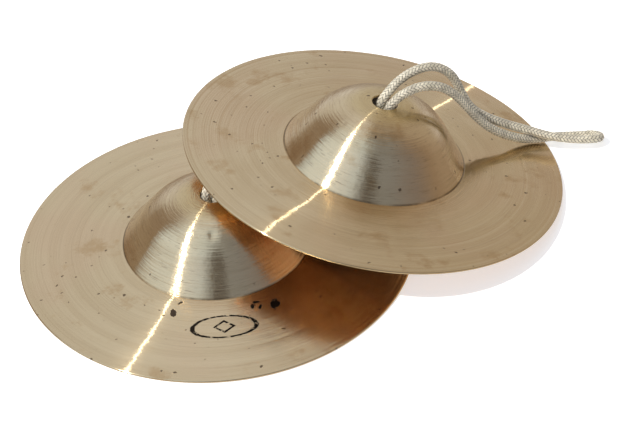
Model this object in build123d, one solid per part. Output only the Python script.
from build123d import *
import os
from math import atan, cos, pi, radians, sin, sqrt, tan

# A pair of small hand cymbals, in millimetres. The lower one lies rim down on the floor and the
# upper one leans on it. Each is one spun brass sheet with a raised bell, and is held by a braided
# cord doubled through the hole in its crown and tied in a knot inside the bell.
# +Z is up, and the origin is at the middle of the two cymbals' box, on the floor.

# The sheet
cymbal_radius = 75.0
sheet = 0.8
hole_radius = 5.0
bell_radius = 35.7        # where the brim meets the bell's side
crown_height = 23.5       # top of the sheet at the edge of the hole, above the rim's underside
crown_slope = 5.0         # degrees below level, from the hole outwards
shoulder_radius = 25.0    # arc from the crown into the side, on the upper face
rim_land = 1.0            # width of the flat ring worn on the underside of the rim

# The pair is made by hand, so the two differ: how far the brim climbs from the rim to the bell,
# and the slope of the bell's side, in degrees below level
lower_brim_rise = 2.0
lower_side_slope = 51.0
upper_brim_rise = 0.2
upper_side_slope = 53.5

# How the upper cymbal leans
lean = 11.7               # degrees between its axis and +Z
lean_heading = -12.4      # degrees, the way its axis leans, from +X towards +Y
axis_gap = 69.0           # between the two cymbals' centres, along X
floor_gap = 0.1           # under the lowest point of the leaning rim

# The cord
cord = 3.5                # diameter
loop_heading = 2.4        # degrees, the upper loop's way out, from the lean's own direction
strand_offset = 1.95      # from the middle of the upper hole to the middle of each strand
joint_gap = 0.3           # between the rounded strand ends and the neck below them
neck_drop = 6.0           # how far down the neck starts, below the loop's hinge
knot_across = 14.0
knot_tall = 11.0
knot_rounding = 4.5
knot_drop = 7.8           # middle of the knot, below the top of the hole
knot_tail = 13.5          # reach of the two loose ends, from the middle of the knot
lower_knot_shift = (-0.9, -0.3)    # the lower cord hangs off centre in its hole

lean_along_x = sin(radians(lean)) * cos(radians(lean_heading))
upper_reach = cymbal_radius * sqrt(1 - lean_along_x**2) + sheet * lean_along_x
lower_x = (cymbal_radius - axis_gap - upper_reach) / 2
upper_x = lower_x + axis_gap
upper_z = cymbal_radius * sin(radians(lean)) + floor_gap

lower_place = Location((lower_x, 0, 0))
upper_place = Location((upper_x, 0, upper_z)) * Rotation(0, 0, lean_heading) * Rotation(0, lean, 0)
upper_hole = upper_place * Location((0, 0, crown_height), (0, 0, loop_heading))

# Each loop's route, from one strand at the hole, round the fold at the far end and back to the
# other strand: the upper one as it lies over the bell and past the rim, with its first strand
# crossing over the second, and the lower one bent flat under the upper cymbal's brim.
upper_route = [
    (46.0, 1.3, 42.7),
    (54.0, 1.3, 46.3),
    (62.5, 0.2, 46.5),
    (69.6, -1.6, 40.8),
    (72.8, -3.2, 32.4),
    (76.0, -4.6, 24.6),
    (83.0, -6.4, 18.3),
    (91.0, -8.6, 13.3),
    (99.0, -12.0, 9.6),
    (106.6, -18.0, 7.0),
    (115.0, -23.2, 5.0),
    (122.0, -27.3, 4.9),
    (126.1, -25.8, 3.4),
    (126.3, -21.8, 1.9),
    (120.3, -17.6, 1.9),
    (113.5, -14.7, 2.5),
    (106.0, -13.4, 3.6),
    (98.5, -12.8, 5.4),
    (90.5, -12.4, 9.7),
    (83.2, -11.1, 14.9),
    (77.4, -9.9, 21.2),
    (72.2, -9.1, 28.8),
    (66.8, -8.3, 36.2),
    (60.5, -7.5, 41.9),
    (52.5, -6.3, 44.4),
    (45.5, -4.6, 42.5),
]
lower_route = [
    (-36.1, 1.1, 16.0),
    (-36.1, 1.1, 22.6),
    (-33.8, 3.4, 26.3),
    (-28.5, 8.8, 25.8),
    (-22.6, 14.8, 24.5),
    (-17.0, 20.3, 18.9),
    (-12.2, 24.8, 10.7),
    (-7.0, 29.4, 4.8),
    (-0.8, 36.0, 4.4),
    (6.4, 42.4, 4.0),
    (13.0, 49.8, 3.7),
    (20.2, 56.4, 3.0),
    (27.4, 63.4, 2.1),
    (33.8, 69.2, 1.9),
    (38.0, 68.0, 1.9),
    (39.2, 63.8, 1.9),
    (33.4, 58.2, 2.0),
    (26.2, 52.0, 2.7),
    (18.8, 44.6, 3.6),
    (10.6, 38.4, 4.0),
    (3.4, 31.0, 4.5),
    (-3.4, 25.0, 4.9),
    (-8.6, 20.8, 10.8),
    (-13.8, 16.5, 19.0),
    (-19.2, 11.0, 24.5),
    (-25.4, 5.6, 25.7),
    (-31.1, 0.6, 26.1),
    (-33.4, -1.7, 22.6),
    (-33.4, -1.7, 16.0),
]


def meeting_point(start, start_slope, end, end_slope):
    """Where a falling line through start meets a falling line through end. Slopes are tangents."""
    rise = start[1] - end[1] + start[0] * start_slope - end[0] * end_slope
    r = rise / (start_slope - end_slope)
    return (r, start[1] - (r - start[0]) * start_slope)


def face_line(depth, rim_point, brim_rise, side_slope):
    """The section's edges at this depth below the upper face, from the hole to rim_point."""
    crown = radians(crown_slope)
    side = radians(side_slope)
    brim = atan(brim_rise / (cymbal_radius - bell_radius))
    crown_point = (hole_radius, crown_height - depth / cos(crown))
    side_point = (bell_radius, sheet + brim_rise - depth / cos(side))
    shoulder = meeting_point(crown_point, tan(crown), side_point, tan(side))
    base = meeting_point(side_point, tan(side), rim_point, tan(brim))
    bell = FilletPolyline(crown_point, shoulder, base, radius=shoulder_radius - depth)
    return [bell, Line(base, rim_point)]


def make_cymbal(brim_rise, side_slope):
    upper_rim = (cymbal_radius, sheet)
    lower_rim = (cymbal_radius, 0)
    land_start = (cymbal_radius - rim_land, 0)
    upper = face_line(0, upper_rim, brim_rise, side_slope)
    under = face_line(sheet, land_start, brim_rise, side_slope)
    ends = [Line(upper[0] @ 0, under[0] @ 0), Line(upper_rim, lower_rim), Line(land_start, lower_rim)]
    section = make_face(upper + under + ends)
    return revolve(Plane.XZ * section, Axis.Z)


def cord_tube(name, points):
    """A tube along straight runs joined by arcs as large as their two runs allow."""
    corners = [Vector(*point) for point in points]
    runs = [corners[i + 1] - corners[i] for i in range(len(corners) - 1)]
    radii = []
    for before, after in zip(runs, runs[1:]):
        shorter = min(before.length, after.length)
        radii.append(0.45 * shorter / tan(radians(before.get_angle(after)) / 2))
    path = FilletPolyline(*corners, radius=radii)
    start = Plane(origin=corners[0], z_dir=runs[0])
    tube = sweep(start * Circle(cord / 2), path=path)
    full = pi * (cord / 2)**2 * path.length
    print(name, "length", round(path.length, 1), "volume ratio", round(tube.volume / full, 4))
    print(name, "radii", [round(radius, 1) for radius in radii])
    return tube


def make_knot():
    """The outer shape of the tied knot and its two loose ends, with its middle at the origin."""
    drum = Cylinder(knot_across / 2, knot_tall)
    knot = fillet(drum.edges().filter_by(GeomType.CIRCLE), knot_rounding)
    loose_end = Cylinder(cord / 2, knot_tail, align=(Align.CENTER, Align.CENTER, Align.MIN))
    for turn in (60, 160):
        knot += Rotation(0, 0, turn) * Rotation(0, 90, 0) * loose_end
    return knot


def strand_point(side, drop):
    """A point on a strand in the upper hole. Side is 1 or -1, and drop is down the axis."""
    return (upper_hole * Location((0, side * strand_offset, -drop))).position


os.makedirs("parts", exist_ok=True)
first_end = strand_point(1, 0)
second_end = strand_point(-1, 0)
upper_tube = cord_tube("upper_cord", [tuple(first_end)] + upper_route + [tuple(second_end)])
upper_cord = upper_tube + Pos(*first_end) * Sphere(cord / 2) + Pos(*second_end) * Sphere(cord / 2)
neck_length = neck_drop - cord / 2 - joint_gap
strand = Cylinder(cord / 2, neck_length, align=(Align.CENTER, Align.CENTER, Align.MIN))
neck = [upper_hole * Pos(0, side * strand_offset, -neck_drop) * strand for side in (1, -1)]
nodes = {
    "lower_cymbal": lower_place * make_cymbal(lower_brim_rise, lower_side_slope),
    "upper_cymbal": upper_place * make_cymbal(upper_brim_rise, upper_side_slope),
    "lower_cord": cord_tube("lower_cord", lower_route),
    "lower_cord_knot": lower_place * Pos(*lower_knot_shift, crown_height - knot_drop) * make_knot(),
    "upper_cord": upper_cord,
    "upper_cord_neck": Compound(children=neck),
    "upper_cord_knot": upper_hole * Pos(0, 0, -knot_drop) * make_knot(),
}
for name, shape in nodes.items():
    export_step(shape, f"parts/{name}.step")
